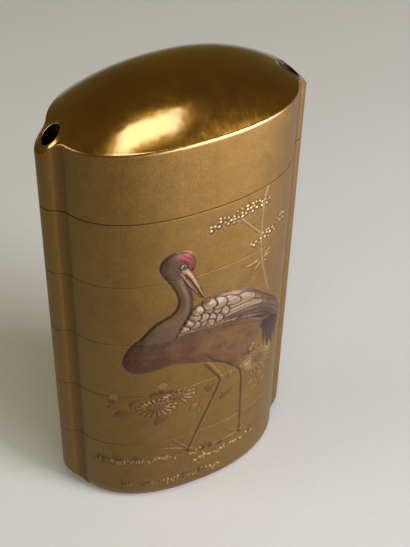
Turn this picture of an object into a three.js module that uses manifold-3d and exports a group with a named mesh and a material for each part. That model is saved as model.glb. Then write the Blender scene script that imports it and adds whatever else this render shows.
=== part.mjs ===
// Inro: a lens-shaped lacquer case that stacks a lid and five cases, with a cord runner at each end.
// Millimetres, +Z up. The origin is the middle of the foot that the base case stands on, and the
// decorated face looks along -Y. Each piece is hollow: a collar on every case slides into a recess
// in the piece above it.
import * as THREE from "three";
import { mergeVertices } from "three/addons/utils/BufferGeometryUtils.js";
import Module from "manifold-3d";

// Plan: a superellipse with a round cord runner at each end.
const HALF_WIDTH = 23.2;
const LENS_A = 20.6;
const LENS_B = 12.0;
const LENS_P = 2.27;
const RUNNER_R = 2.42;
const GROOVE_R = 2.5;
const BORE_X = 20.5;
const BORE_R = 1.5;

// Heights: the base case, four equal tiers, the lid's straight wall and its dome.
const BASE_H = 17.8;
const TIER = 13.66;
const CASES = 5;
const DOME = 6.4;
const DOME_POWER = 2.14;
const RIM_DROOP = 0.4;

// Ends: sloping cuts at the runners' top and bottom.
const END_SLOPE = 1.1;
const TOP_END_DROP = 3.3;
const BOTTOM_END_RISE = 5.84;

// The base's rounded lower edge.
const EDGE_INSET = 2.5;
const EDGE_H = 4.15;

// Walls, collars and the gap that keeps neighbours apart.
const GAP = 0.3;
const COLLAR_H = 3.6;
const FLOOR = 1.0;
const BASE_FLOOR = 2.4;
const DOME_WALL = 1.7;
const COLLAR_A = 18.1;
const COLLAR_B = 11.0;
const COLLAR_WALL = 0.8;

// Relief heights above the face, and how far a figure is rooted in the wall.
const BODY_RELIEF = 0.4;
const WING_RELIEF = 0.6;
const PLANT_RELIEF = 0.3;
const RELIEF_ROOT = 0.35;

// How finely the round forms are faceted.
const LENS_SEGMENTS = 40;
const RUNNER_SEGMENTS = 12;
const GROOVE_SEGMENTS = 2;
const BORE_SEGMENTS = 10;
const EDGE_STEPS = 5;
const DOT_SIDES = 5;
const BUD_SIDES = 7;
const HEAD_SIDES = 12;
const LEAF_STEPS = 3;

// A leaf is fullest nearer its foot, and a petal's notch reaches this part of the flower's radius.
const LEAF_FULLNESS = 0.8;
const PETAL_NOTCH = 0.72;

const RIM_Z = BASE_H + CASES * TIER;
const TOP_Z = RIM_Z + DOME;
const RUNNER_CENTRE = new THREE.Vector2(HALF_WIDTH - RUNNER_R, 0);

const wasm = await Module();
wasm.setup();

// A closed three.js geometry as a solid that can be joined and cut.
function solid(geometry) {
  const bare = geometry.index ? geometry.toNonIndexed() : geometry.clone();
  bare.deleteAttribute("normal");
  bare.deleteAttribute("uv");
  const merged = mergeVertices(bare, 1e-4);
  const corners = merged.index.array;
  const triangles = [];
  for (let i = 0; i < corners.length; i += 3) {
    const [a, b, c] = corners.slice(i, i + 3);
    if (a !== b && b !== c && c !== a) triangles.push(a, b, c);
  }
  return new wasm.Manifold(
    new wasm.Mesh({
      numProp: 3,
      vertProperties: new Float32Array(merged.attributes.position.array),
      triVerts: new Uint32Array(triangles),
    }),
  );
}

function union(solids) {
  return solids.reduce((joined, next) => joined.add(next));
}

// --- The plan ---------------------------------------------------------------------------------------

const signedPower = (value, power) => Math.sign(value) * Math.abs(value) ** power;

function lensPoint(angle, a, b) {
  const x = a * signedPower(Math.cos(angle), 2 / LENS_P);
  const y = b * signedPower(Math.sin(angle), 2 / LENS_P);
  return new THREE.Vector2(x, y);
}

// An upright prism of a plan outline between two heights.
function upright(points, zLow, zHigh) {
  const settings = { depth: zHigh - zLow, bevelEnabled: false };
  const geometry = new THREE.ExtrudeGeometry(new THREE.Shape(points), settings);
  return solid(geometry.translate(0, 0, zLow));
}

function lensPrism(a, b, zLow, zHigh) {
  const points = [];
  for (let i = 0; i < LENS_SEGMENTS; i++) {
    points.push(lensPoint((2 * Math.PI * i) / LENS_SEGMENTS, a, b));
  }
  return upright(points, zLow, zHigh);
}

function uprightRod(x, radius, segments, zLow, zHigh) {
  const geometry = new THREE.CylinderGeometry(radius, radius, zHigh - zLow, segments);
  return solid(geometry.rotateX(Math.PI / 2).translate(x, 0, (zLow + zHigh) / 2));
}

// The centre of the circle of radius GROOVE_R that touches both the lens and the runner beside it, and
// the place where it touches the lens.
function grooveCircle() {
  const nudge = 1e-4;
  const circleAt = (angle) => {
    const touch = lensPoint(angle, LENS_A, LENS_B);
    const along = lensPoint(angle + nudge, LENS_A, LENS_B).sub(lensPoint(angle - nudge, LENS_A, LENS_B));
    const outward = new THREE.Vector2(along.y, -along.x).normalize();
    return { touch, centre: touch.clone().addScaledVector(outward, GROOVE_R) };
  };
  let low = nudge * 2;
  let high = Math.PI / 4;
  for (let i = 0; i < 40; i++) {
    const middle = (low + high) / 2;
    const reach = circleAt(middle).centre.distanceTo(RUNNER_CENTRE);
    if (reach < GROOVE_R + RUNNER_R) low = middle;
    else high = middle;
  }
  return circleAt(low);
}

// The outline of the fillet that softens one groove between the lens and a runner.
function grooveFillet() {
  const { touch, centre } = grooveCircle();
  const start = Math.atan2(RUNNER_CENTRE.y - centre.y, RUNNER_CENTRE.x - centre.x);
  const end = Math.atan2(touch.y - centre.y, touch.x - centre.x);
  const points = [new THREE.Vector2(RUNNER_CENTRE.x - RUNNER_R, 0)];
  for (let i = 0; i <= GROOVE_SEGMENTS; i++) {
    const turn = THREE.MathUtils.lerp(start, end, i / GROOVE_SEGMENTS);
    const reach = new THREE.Vector2(Math.cos(turn), Math.sin(turn)).multiplyScalar(GROOVE_R);
    points.push(reach.add(centre));
  }
  return points;
}

// The two cord runners, one at each end of the lens, with their grooves softened.
function runners(zLow, zHigh) {
  const rod = uprightRod(RUNNER_CENTRE.x, RUNNER_R, RUNNER_SEGMENTS, zLow, zHigh);
  const fillet = upright(grooveFillet(), zLow, zHigh);
  const right = union([rod, fillet, fillet.mirror([0, 1, 0])]);
  return right.add(right.mirror([1, 0, 0]));
}

// The outer form, lens and both runners, between two heights.
function outerPrism(zLow, zHigh) {
  return lensPrism(LENS_A, LENS_B, zLow, zHigh).add(runners(zLow, zHigh));
}

// The two cord bores, which run from the lid's top to the base's underside.
function bores() {
  return union([-BORE_X, BORE_X].map((x) => uprightRod(x, BORE_R, BORE_SEGMENTS, -1, TOP_Z + 1)));
}

// --- Sloping ends, dome and foot --------------------------------------------------------------------

// The half space over (or under) the slope at the end with the sign side, as a large tilted box.
function endWedge(side, zOuter, up) {
  const size = 3 * HALF_WIDTH;
  const box = new THREE.BoxGeometry(size, size, size).translate(0, 0, (up * size) / 2);
  box.rotateY(side * up * Math.atan(END_SLOPE));
  return solid(box.translate(side * HALF_WIDTH, 0, zOuter));
}

// A lathe in lens units: radius 1 is the lens plan, and heights come from heightAt(x) added to the profile.
function lensLathe(profile, heightAt) {
  const geometry = new THREE.LatheGeometry(profile, LENS_SEGMENTS);
  const position = geometry.attributes.position;
  for (let i = 0; i < position.count; i++) {
    const radius = Math.hypot(position.getX(i), position.getZ(i));
    const angle = Math.atan2(position.getX(i), position.getZ(i));
    const plan = lensPoint(angle, LENS_A, LENS_B).multiplyScalar(radius);
    position.setXYZ(i, plan.x, plan.y, position.getY(i) + heightAt(plan.x));
  }
  return solid(geometry);
}

const DOME_RINGS = [0, 0.25, 0.5, 0.7, 0.85, 0.95, 1.05, 1.25];

// Everything under the dome's surface, lowered by drop.
function underDome(drop) {
  const height = (r) => RIM_Z - drop + DOME * (1 - r ** DOME_POWER);
  const surface = DOME_RINGS.map((r) => new THREE.Vector2(r, height(r)));
  const outermost = DOME_RINGS.at(-1);
  const profile = [new THREE.Vector2(0, 0), new THREE.Vector2(outermost, 0), ...surface.reverse()];
  return lensLathe(profile, (x) => -RIM_DROOP * Math.min(1, (x / LENS_A) ** 2));
}

// The base's body: everything above its rounded lower edge.
function aboveFoot() {
  const edge = [];
  for (let i = 0; i <= EDGE_STEPS; i++) {
    const turn = (i / EDGE_STEPS) * (Math.PI / 2);
    const radius = 1 - (EDGE_INSET / LENS_B) * (1 - Math.cos(turn));
    edge.push(new THREE.Vector2(radius, EDGE_H * (1 - Math.sin(turn))));
  }
  const profile = [
    new THREE.Vector2(0, 0),
    ...edge.reverse(),
    new THREE.Vector2(1, RIM_Z),
    new THREE.Vector2(0, RIM_Z),
  ];
  return lensLathe(profile, () => 0);
}

// --- Relief figures on the front face ---------------------------------------------------------------
// A figure is drawn flat, as [along, height]: along is measured on the curved face from its middle line.

// The x of a place on the face at the given distance along it from the middle line.
function faceX(along) {
  const steps = 400;
  let length = 0;
  let last = lensPoint(Math.PI / 2, LENS_A, LENS_B);
  for (let i = 1; i <= steps; i++) {
    const next = lensPoint((Math.PI / 2) * (1 - i / steps), LENS_A, LENS_B);
    const step = next.distanceTo(last);
    if (length + step >= Math.abs(along)) {
      const part = (Math.abs(along) - length) / step;
      return Math.sign(along) * THREE.MathUtils.lerp(last.x, next.x, part);
    }
    length += step;
    last = next;
  }
  return Math.sign(along) * LENS_A;
}

// A prism through the front wall whose section is the flat outline.
function figure(outline) {
  const points = outline.map((p) => new THREE.Vector2(faceX(p.x), p.y));
  if (THREE.ShapeUtils.isClockWise(points)) points.reverse();
  const settings = { depth: LENS_A, bevelEnabled: false };
  const geometry = new THREE.ExtrudeGeometry(new THREE.Shape(points), settings);
  return solid(geometry.rotateX(Math.PI / 2).translate(0, -LENS_B / 4, 0));
}

// A smooth curve through a few [along, height] points, closed or open.
function curve(points, steps, closed) {
  const path = points.map(([along, height]) => new THREE.Vector3(along, height, 0));
  const sampled = new THREE.CatmullRomCurve3(path, closed, "centripetal").getPoints(steps);
  if (closed) sampled.pop();
  return sampled.map((p) => new THREE.Vector2(p.x, p.y));
}

// A stroke along a curve, its width running through the listed widths.
function stroke(points, widths, steps) {
  const centre = curve(points, steps, false);
  const left = [];
  const right = [];
  centre.forEach((p, i) => {
    const ahead = centre[Math.min(i + 1, steps)].clone().sub(centre[Math.max(i - 1, 0)]).normalize();
    const place = (i / steps) * (widths.length - 1);
    const index = Math.min(Math.floor(place), widths.length - 2);
    const half = THREE.MathUtils.lerp(widths[index], widths[index + 1], place - index) / 2;
    left.push(new THREE.Vector2(p.x - ahead.y * half, p.y + ahead.x * half));
    right.unshift(new THREE.Vector2(p.x + ahead.y * half, p.y - ahead.x * half));
  });
  return figure([...left, ...right]);
}

function oval(along, height, halfWidth, halfHeight, sides) {
  const points = [];
  for (let i = 0; i < sides; i++) {
    const angle = (2 * Math.PI * i) / sides;
    const x = along + halfWidth * Math.cos(angle);
    points.push(new THREE.Vector2(x, height + halfHeight * Math.sin(angle)));
  }
  return figure(points);
}

// A leaf: two bowed edges from its foot to its tip.
function leaf(along, height, length, width, turn) {
  const axis = new THREE.Vector2(Math.cos(turn), Math.sin(turn));
  const side = new THREE.Vector2(-axis.y, axis.x);
  const edge = (sign) =>
    Array.from({ length: LEAF_STEPS + 1 }, (_, i) => {
      const part = i / LEAF_STEPS;
      const out = (sign * width * Math.sin(Math.PI * part ** LEAF_FULLNESS)) / 2;
      const spine = new THREE.Vector2(along, height).addScaledVector(axis, part * length);
      return spine.addScaledVector(side, out);
    });
  return figure([...edge(1), ...edge(-1).reverse().slice(1, -1)]);
}

// A daisy-like flower head: pointed petals round an oval.
function flowerHead(along, height, radius, squash, petals) {
  const points = [];
  for (let i = 0; i < 2 * petals; i++) {
    const reach = i % 2 ? radius * PETAL_NOTCH : radius;
    const angle = (Math.PI * i) / petals;
    const x = along + reach * Math.cos(angle);
    points.push(new THREE.Vector2(x, height + squash * reach * Math.sin(angle)));
  }
  return figure(points);
}

// The crane, which looks right and down over its shoulder: outlines and centre lines as [along, height].
const NECK = [
  [-5.7, 61.2], [-5.1, 59.4], [-4.2, 57.0], [-3.5, 54.4],
  [-3.6, 52.0], [-4.7, 49.8], [-7.0, 47.6], [-9.6, 44.6],
];
const NECK_WIDTHS = [3.4, 2.6, 2.1, 2.2, 2.7, 3.5, 5.0, 6.0];
const BODY = [
  [-7.4, 48.6], [-10.6, 46.9], [-13.2, 44.2], [-14.4, 40.6], [-13.2, 38.1], [-10.6, 37.6],
  [-5.6, 38.5], [-2.1, 37.6], [1.3, 36.4], [4.4, 34.5], [7.0, 32.0], [8.6, 33.2],
  [10.4, 36.3], [12.0, 39.0], [12.6, 43.0], [6.0, 47.0], [-2.6, 48.5],
];
const WING = [
  [-5.0, 45.7], [-3.6, 48.4], [-2.2, 51.0], [0.8, 52.2], [3.4, 52.6],
  [6.6, 51.9], [9.9, 50.2], [13.2, 46.9], [16.1, 43.8], [18.4, 40.0],
  [19.2, 36.6], [16.6, 38.8], [12.6, 41.6], [8.2, 44.4], [2.0, 45.6],
];
const TAIL = [
  [13.2, 41.0], [11.4, 38.0], [12.9, 35.6], [14.2, 33.4],
  [15.4, 31.4], [17.4, 31.6], [18.8, 34.0], [19.0, 37.4],
];
const HEAD = { along: -4.8, height: 62.3, halfWidth: 2.95, halfHeight: 2.75 };
const BEAK = [[-3.5, 61.4], [-1.9, 58.0], [-0.1, 53.2]];
const FRONT_FOOT = [-2.2, 13.2];
const FRONT_LEG = [
  [1.4, 36.4], [2.9, 33.2], [3.9, 31.2], [4.0, 29.6],
  [2.6, 25.3], [-0.3, 18.5], FRONT_FOOT,
];
const FRONT_TOES = [[-5.9, 17.6], [-9.8, 15.8], [-4.8, 11.6]];
const REAR_FOOT = [9.1, 12.4];
const REAR_LEG = [[5.8, 34.6], [7.6, 32.2], [8.6, 29.8], [8.9, 26.5], [9.0, 19.0], REAR_FOOT];
const REAR_TOES = [[5.0, 14.8], [0.4, 12.2], [11.6, 11.4]];

function craneBody() {
  return union([
    figure(curve(BODY, 34, true)),
    stroke(NECK, NECK_WIDTHS, 18),
    oval(HEAD.along, HEAD.height, HEAD.halfWidth, HEAD.halfHeight, HEAD_SIDES),
    figure(curve(TAIL, 18, true)),
  ]);
}

function craneWing() {
  return figure(curve(WING, 30, true));
}

function craneLegsAndBeak() {
  const toe = (foot, tip) => stroke([foot, tip], [0.6, 0.3], 1);
  return union([
    stroke(FRONT_LEG, [1.7, 1.2, 1.0], 12),
    stroke(REAR_LEG, [3.0, 1.3, 1.0, 1.0], 10),
    stroke(BEAK, [2.4, 1.5, 0.3], 2),
    ...FRONT_TOES.map((tip) => toe(FRONT_FOOT, tip)),
    ...REAR_TOES.map((tip) => toe(REAR_FOOT, tip)),
  ]);
}

// A cluster of round dots scattered on a tilted oval by the golden angle, which spreads them evenly.
function dots(along, height, halfWidth, halfHeight, tilt, count, radius) {
  const golden = Math.PI * (3 - Math.sqrt(5));
  return union(
    Array.from({ length: count }, (_, i) => {
      const reach = Math.sqrt((i + 0.5) / count);
      const x = halfWidth * reach * Math.cos(i * golden);
      const y = halfHeight * reach * Math.sin(i * golden) + tilt * x;
      return oval(along + x, height + y, radius, radius, DOT_SIDES);
    }),
  );
}

function valerian() {
  return union([
    stroke([[11.9, 71.8], [11.2, 67.0], [11.2, 60.0], [12.2, 54.0], [14.0, 47.4]], [0.5, 0.6], 7),
    stroke([[11.1, 62.4], [8.4, 65.8], [6.6, 68.0]], [0.6, 0.4], 3),
    dots(6.4, 69.0, 5.4, 1.2, 0.03, 15, 0.4),
    dots(12.2, 61.4, 3.2, 1.0, 0.1, 8, 0.4),
    leaf(11.6, 56.4, -3.8, 0.9, 0),
    leaf(11.8, 56.2, 3.4, 0.9, -0.25),
    leaf(11.8, 56.2, -2.6, 0.7, 0.7),
  ]);
}

function chrysanthemums() {
  return union([
    flowerHead(-8.4, 28.2, 3.8, 0.78, 15),
    flowerHead(-4.4, 29.3, 3.2, 0.74, 13),
    flowerHead(12.6, 30.6, 3.9, 0.95, 15),
    leaf(-9.9, 31.2, 3.4, 1.6, 0.1),
    leaf(-16.2, 25.4, 3.5, 1.7, 0.35),
    leaf(-12.9, 27.8, 2.6, 1.2, 1.1),
    leaf(-9.2, 22.7, 3.7, 1.7, 0.6),
    leaf(1.2, 28.2, 2.6, 1.7, 0.9),
    leaf(3.9, 24.6, 3.2, 1.6, 0.5),
    oval(-7.5, 33.4, 0.9, 1.1, BUD_SIDES),
    oval(-16.3, 31.2, 1.0, 1.4, BUD_SIDES),
  ]);
}

// The ground line: a row of raised dots that drifts up and down along the face.
function groundDots() {
  const row = (from, to, count, height, swing) =>
    Array.from({ length: count }, (_, i) => {
      const along = THREE.MathUtils.lerp(from, to, i / (count - 1));
      return oval(along, height + swing * Math.sin(3 * i), 0.42, 0.34, DOT_SIDES);
    });
  return union([
    ...row(-20, -6, 12, 12.4, 0.3),
    ...row(-1, 11, 9, 9.4, 0.4),
    ...row(-15, 4, 11, 5.2, 0.4),
  ]);
}

const LOW_FIGURES = [craneLegsAndBeak(), valerian(), chrysanthemums(), groundDots()];
const FIGURES = [
  { height: BODY_RELIEF, prism: craneBody() },
  { height: WING_RELIEF, prism: craneWing() },
  { height: PLANT_RELIEF, prism: union(LOW_FIGURES) },
];

// The part of every figure that stands on the face between two heights.
function relief(zLow, zHigh) {
  const root = lensPrism(LENS_A - RELIEF_ROOT, LENS_B - RELIEF_ROOT, zLow, zHigh);
  return union(
    FIGURES.map(({ height, prism }) => {
      const skin = lensPrism(LENS_A + height, LENS_B + height, zLow, zHigh).subtract(root);
      return prism.intersect(skin);
    }),
  );
}

// --- The pieces -------------------------------------------------------------------------------------

const CORD_BORES = bores();

// The room inside a piece, between two heights.
function room(zLow, zHigh) {
  return lensPrism(COLLAR_A - COLLAR_WALL, COLLAR_B - COLLAR_WALL, zLow, zHigh);
}

// The recess under a piece, for the collar of the case below it.
function recess(zLow) {
  return lensPrism(COLLAR_A + GAP, COLLAR_B + GAP, zLow - 1, zLow + COLLAR_H + GAP);
}

function collar(zRim) {
  return lensPrism(COLLAR_A, COLLAR_B, zRim - FLOOR, zRim + COLLAR_H);
}

function lid() {
  const seam = RIM_Z - TIER;
  const under = seam + COLLAR_H + GAP;
  return outerPrism(seam + GAP / 2, TOP_Z + 1)
    .intersect(underDome(0))
    .subtract(endWedge(1, RIM_Z - TOP_END_DROP, 1))
    .subtract(endWedge(-1, RIM_Z - TOP_END_DROP, 1))
    .subtract(recess(seam))
    .subtract(room(under - 1, TOP_Z).intersect(underDome(DOME_WALL)))
    .subtract(CORD_BORES);
}

// A middle case: recess below, floor, room, and a collar above its rim.
function tierCase(zLow) {
  const zRim = zLow + TIER;
  const floorTop = zLow + COLLAR_H + GAP + FLOOR;
  return outerPrism(zLow + GAP / 2, zRim - GAP / 2)
    .add(relief(zLow + GAP / 2, zRim - GAP / 2))
    .subtract(recess(zLow))
    .add(collar(zRim))
    .subtract(room(floorTop, zRim + COLLAR_H + 1))
    .subtract(CORD_BORES);
}

function baseCase() {
  const zRim = BASE_H;
  return lensPrism(LENS_A, LENS_B, 0, zRim - GAP / 2)
    .intersect(aboveFoot())
    .add(runners(0, zRim - GAP / 2))
    .subtract(endWedge(1, BOTTOM_END_RISE, -1))
    .subtract(endWedge(-1, BOTTOM_END_RISE, -1))
    .add(relief(EDGE_H, zRim - GAP / 2))
    .add(collar(zRim))
    .subtract(room(BASE_FLOOR, zRim + COLLAR_H + 1))
    .subtract(CORD_BORES);
}

// --- Finishes and assembly --------------------------------------------------------------------------

const goldLacquer = new THREE.MeshStandardMaterial({ color: 0x9a7640, roughness: 0.4, metalness: 0.7 });
const polishedLid = new THREE.MeshStandardMaterial({ color: 0x8a6224, roughness: 0.2, metalness: 0.75 });

function mesh(name, made, material) {
  const data = made.getMesh();
  const geometry = new THREE.BufferGeometry();
  geometry.setAttribute("position", new THREE.BufferAttribute(data.vertProperties, data.numProp));
  geometry.setIndex(new THREE.BufferAttribute(data.triVerts, 1));
  const piece = new THREE.Mesh(geometry, material);
  piece.name = name;
  return piece;
}

const inro = new THREE.Group();
inro.add(mesh("lid", lid(), polishedLid));
for (let i = 1; i < CASES; i++) {
  inro.add(mesh(`case_${i}`, tierCase(RIM_Z - (i + 1) * TIER), goldLacquer));
}
inro.add(mesh(`case_${CASES}`, baseCase(), goldLacquer));

export default inro;
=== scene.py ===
from math import atan2, cos, hypot, pi, radians, sin, sqrt

import bpy
import numpy as np
from mathutils import Matrix, Vector


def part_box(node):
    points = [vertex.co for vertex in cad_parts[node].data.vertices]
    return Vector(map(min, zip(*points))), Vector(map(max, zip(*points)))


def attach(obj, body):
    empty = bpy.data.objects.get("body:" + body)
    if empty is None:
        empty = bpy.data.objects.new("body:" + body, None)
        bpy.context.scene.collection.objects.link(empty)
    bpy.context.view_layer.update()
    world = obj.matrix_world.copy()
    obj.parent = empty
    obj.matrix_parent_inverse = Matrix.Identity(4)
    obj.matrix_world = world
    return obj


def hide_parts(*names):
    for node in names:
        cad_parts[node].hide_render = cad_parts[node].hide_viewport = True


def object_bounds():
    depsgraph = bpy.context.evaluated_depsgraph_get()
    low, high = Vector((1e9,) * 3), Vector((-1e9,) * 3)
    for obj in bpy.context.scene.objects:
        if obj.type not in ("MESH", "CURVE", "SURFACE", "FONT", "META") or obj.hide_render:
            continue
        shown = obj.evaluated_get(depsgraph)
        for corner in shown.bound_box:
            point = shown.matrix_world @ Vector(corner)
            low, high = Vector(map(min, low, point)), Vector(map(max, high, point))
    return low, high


# An inro: a gold lacquer case of a lid and five cases, with a crane in low relief on its front. Each CAD piece is
# replaced by a fine hollow mesh of the same form, so that the relief is real geometry. Lengths are in millimetres
# until a mesh is written, in the frame's axes: +Z up, the decorated face towards -Y.

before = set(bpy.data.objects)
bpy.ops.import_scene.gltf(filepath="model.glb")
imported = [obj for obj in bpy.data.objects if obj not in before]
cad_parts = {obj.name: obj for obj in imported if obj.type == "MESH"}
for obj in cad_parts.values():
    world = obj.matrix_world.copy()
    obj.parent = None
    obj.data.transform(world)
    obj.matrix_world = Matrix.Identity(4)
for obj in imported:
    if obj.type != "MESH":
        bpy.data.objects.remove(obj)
cad_low, cad_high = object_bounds()

MM = 0.001
PIECES = ["lid", "case_1", "case_2", "case_3", "case_4", "case_5"]

# --- Sizes, from the frame where it states them ---

HALF_WIDTH = cad_high.x / MM
TOP_Z = cad_high.z / MM

# The plan: a lens, a superellipse with half axes A and B and power P, between two round runners, with a fillet in
# each groove between them and a cord bore down each end.
LENS_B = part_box("lid")[1].y / MM
LENS_A = HALF_WIDTH - 2.6
LENS_P = 2.27
RUNNER_R = 2.42
RUNNER_X = HALF_WIDTH - RUNNER_R
GROOVE_R = 2.5
BORE_X = HALF_WIDTH - 2.7
BORE_R = 1.5

# The seams, in the middle of the CAD's gaps, by the piece above. SEAM_HALF is half of what stays open here: the
# lid's seam is the clearest one, and the cases below close almost without a gap.
CAD_GAP = 0.3
SEAMS = {name: (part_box(name)[0].z / MM) - CAD_GAP / 2 for name in PIECES[:-1]}
SEAM_HALF = dict.fromkeys(SEAMS, 0.035) | {"lid": 0.08}
TIER = SEAMS["lid"] - SEAMS["case_1"]
RIM_Z = SEAMS["lid"] + TIER

# The lid's dome, the sloped cuts of the runners' ends, and the rounded edge at the foot.
DOME = TOP_Z - RIM_Z
DOME_POWER = 2.14
RIM_DROOP = 0.4
END_SLOPE = 1.1
TOP_END_DROP = 3.3
BOTTOM_END_RISE = 5.84
EDGE_INSET = 2.5
EDGE_H = 4.15

# Inside: each plan is a smaller lens, as its half axes.
COLLAR_H = 3.6
COLLAR_WALL = 0.8
COLLAR = (HALF_WIDTH - 5.1, LENS_B - 1.0)
RECESS = (COLLAR[0] + CAD_GAP, COLLAR[1] + CAD_GAP)
ROOM = (COLLAR[0] - COLLAR_WALL, COLLAR[1] - COLLAR_WALL)
FLOOR = 1.0
BASE_FLOOR = 2.4
DOME_WALL = 1.7

# The mesh: points round the outline, and the height of a row on the walls.
FRONT_POINTS = 400
RUNNER_POINTS = 76
BACK_POINTS = 110
ROW_STEP = 0.165

# How much brighter this light shows a painted colour.
PAINT_LIT = 2.85


def linear(red, green, blue):
    """A pigment's own linear colour, from the display colour (0 to 255) that it shows in this light."""
    scaled = np.array([red, green, blue], float) / 255
    return np.where(scaled <= 0.04045, scaled / 12.92, ((scaled + 0.055) / 1.055) ** 2.4) / PAINT_LIT


def smooth(edge_low, edge_high, value):
    """0 below edge_low, 1 above edge_high, and a smooth step between."""
    t = np.clip((value - edge_low) / (edge_high - edge_low), 0, 1)
    return t * t * (3 - 2 * t)


# --- The plan outline ---


def turned_right(ways):
    """Unit vectors at right angles to these, on their right."""
    return np.column_stack([ways[:, 1], -ways[:, 0]]) / np.hypot(*ways.T)[:, None]


def full_turn(count):
    return np.linspace(0, 2 * pi, count, endpoint=False)


def on_circle(x, y, radius, angles):
    return np.column_stack([x + radius * np.cos(angles), y + radius * np.sin(angles)])


def lens_points(angles, a, b):
    """Points of the superellipse with half axes a and b, at parameter angles."""
    c, s = np.cos(angles), np.sin(angles)
    x = a * np.sign(c) * np.abs(c) ** (2 / LENS_P)
    y = b * np.sign(s) * np.abs(s) ** (2 / LENS_P)
    return np.stack([x, y], axis=-1)


def lens_radius(directions, a, b):
    """How far the superellipse reaches along each direction vector, as a factor on it."""
    power = np.abs(directions[:, 0] / a) ** LENS_P + np.abs(directions[:, 1] / b) ** LENS_P
    return power ** (-1 / LENS_P)


def spread(points, count):
    """count points evenly spaced along a polyline, without its last point."""
    steps = np.hypot(*np.diff(points, axis=0).T)
    length = np.concatenate([[0], np.cumsum(steps)])
    places = np.linspace(0, length[-1], count, endpoint=False)
    return np.stack([np.interp(places, length, points[:, k]) for k in (0, 1)], axis=-1)


def groove_circle():
    """The circle of radius GROOVE_R that touches lens and runner: its centre, and the lens angle it touches at."""
    nudge = 1e-4
    low, high = 2 * nudge, pi / 4
    for _ in range(50):
        middle = (low + high) / 2
        before, touch, after = lens_points(np.array([middle - nudge, middle, middle + nudge]), LENS_A, LENS_B)
        along = (after - before) / np.hypot(*(after - before))
        centre = touch + GROOVE_R * np.array([along[1], -along[0]])
        if hypot(centre[0] - RUNNER_X, centre[1]) < GROOVE_R + RUNNER_R:
            low = middle
        else:
            high = middle
    return centre, low


def plan_outline():
    """The outer outline, counter-clockwise from the left groove of the front face, with filleted grooves."""
    (cx, cy), touch = groove_circle()
    start = lens_points(np.array([touch]), LENS_A, LENS_B)[0]
    lens_turn = atan2(start[1] - cy, start[0] - cx)
    rod_turn = atan2(-cy, RUNNER_X - cx)
    rod = atan2(cy, cx - RUNNER_X)
    front = lens_points(np.linspace(touch - pi, -touch, 3000), LENS_A, LENS_B)
    back = lens_points(np.linspace(touch, pi - touch, 3000), LENS_A, LENS_B)
    arc = np.linspace(-rod, rod, 400)
    round_rod = on_circle(RUNNER_X, 0.0, RUNNER_R, arc)
    fillet = on_circle(cx, cy, GROOVE_R, np.linspace(rod_turn, lens_turn, 60))
    right = np.concatenate([fillet[::-1] * [1, -1], round_rod[1:-1], fillet])
    return np.concatenate([spread(front, FRONT_POINTS), spread(right, RUNNER_POINTS), spread(back, BACK_POINTS),
                           spread(-right, RUNNER_POINTS)])


OUTLINE = plan_outline()
COUNT = len(OUTLINE)
ahead = np.roll(OUTLINE, -1, axis=0) - np.roll(OUTLINE, 1, axis=0)
NORMALS = turned_right(ahead)
FLAT_NORMALS = np.column_stack([NORMALS, np.zeros(COUNT)])
FRONT = slice(0, FRONT_POINTS)
ON_LENS = np.repeat([True, False, True, False], [FRONT_POINTS, RUNNER_POINTS, BACK_POINTS, RUNNER_POINTS])

# The length along the front from its middle, which is where the figures are placed.
front_steps = np.hypot(*np.diff(OUTLINE[FRONT], axis=0).T)
ALONG = np.concatenate([[0], np.cumsum(front_steps)])
ALONG -= np.interp(0, OUTLINE[FRONT][:, 0], ALONG)

# 1 in the grooves, where the outline turns inwards, and 0 elsewhere.
behind = OUTLINE - np.roll(OUTLINE, 1, axis=0)
onward = np.roll(OUTLINE, -1, axis=0) - OUTLINE
turn_in = behind[:, 1] * onward[:, 0] - behind[:, 0] * onward[:, 1]
turn_in = turn_in / (np.hypot(*behind.T) * np.hypot(*onward.T))
HOLLOW = smooth(0.01, 0.05, turn_in)


def lens_ring(a, b, z):
    """A ring of the smaller lens, its points in line with the outline's."""
    flat = OUTLINE * lens_radius(OUTLINE, a, b)[:, None]
    return np.column_stack([flat, np.full(COUNT, z)])


# --- A drawing board for the face: relief, paint and ink ---

EDGE_SOFT, DRAWN_SOFT = 0.07, 0.06
LINE_DEPTH, DEEPEST = 0.05, 0.06
SWELL_POWER = 0.6
WINDOW_MARGIN = 0.5
SPLINE_STEPS = 8
LEAF_BEND = 0.12


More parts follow.
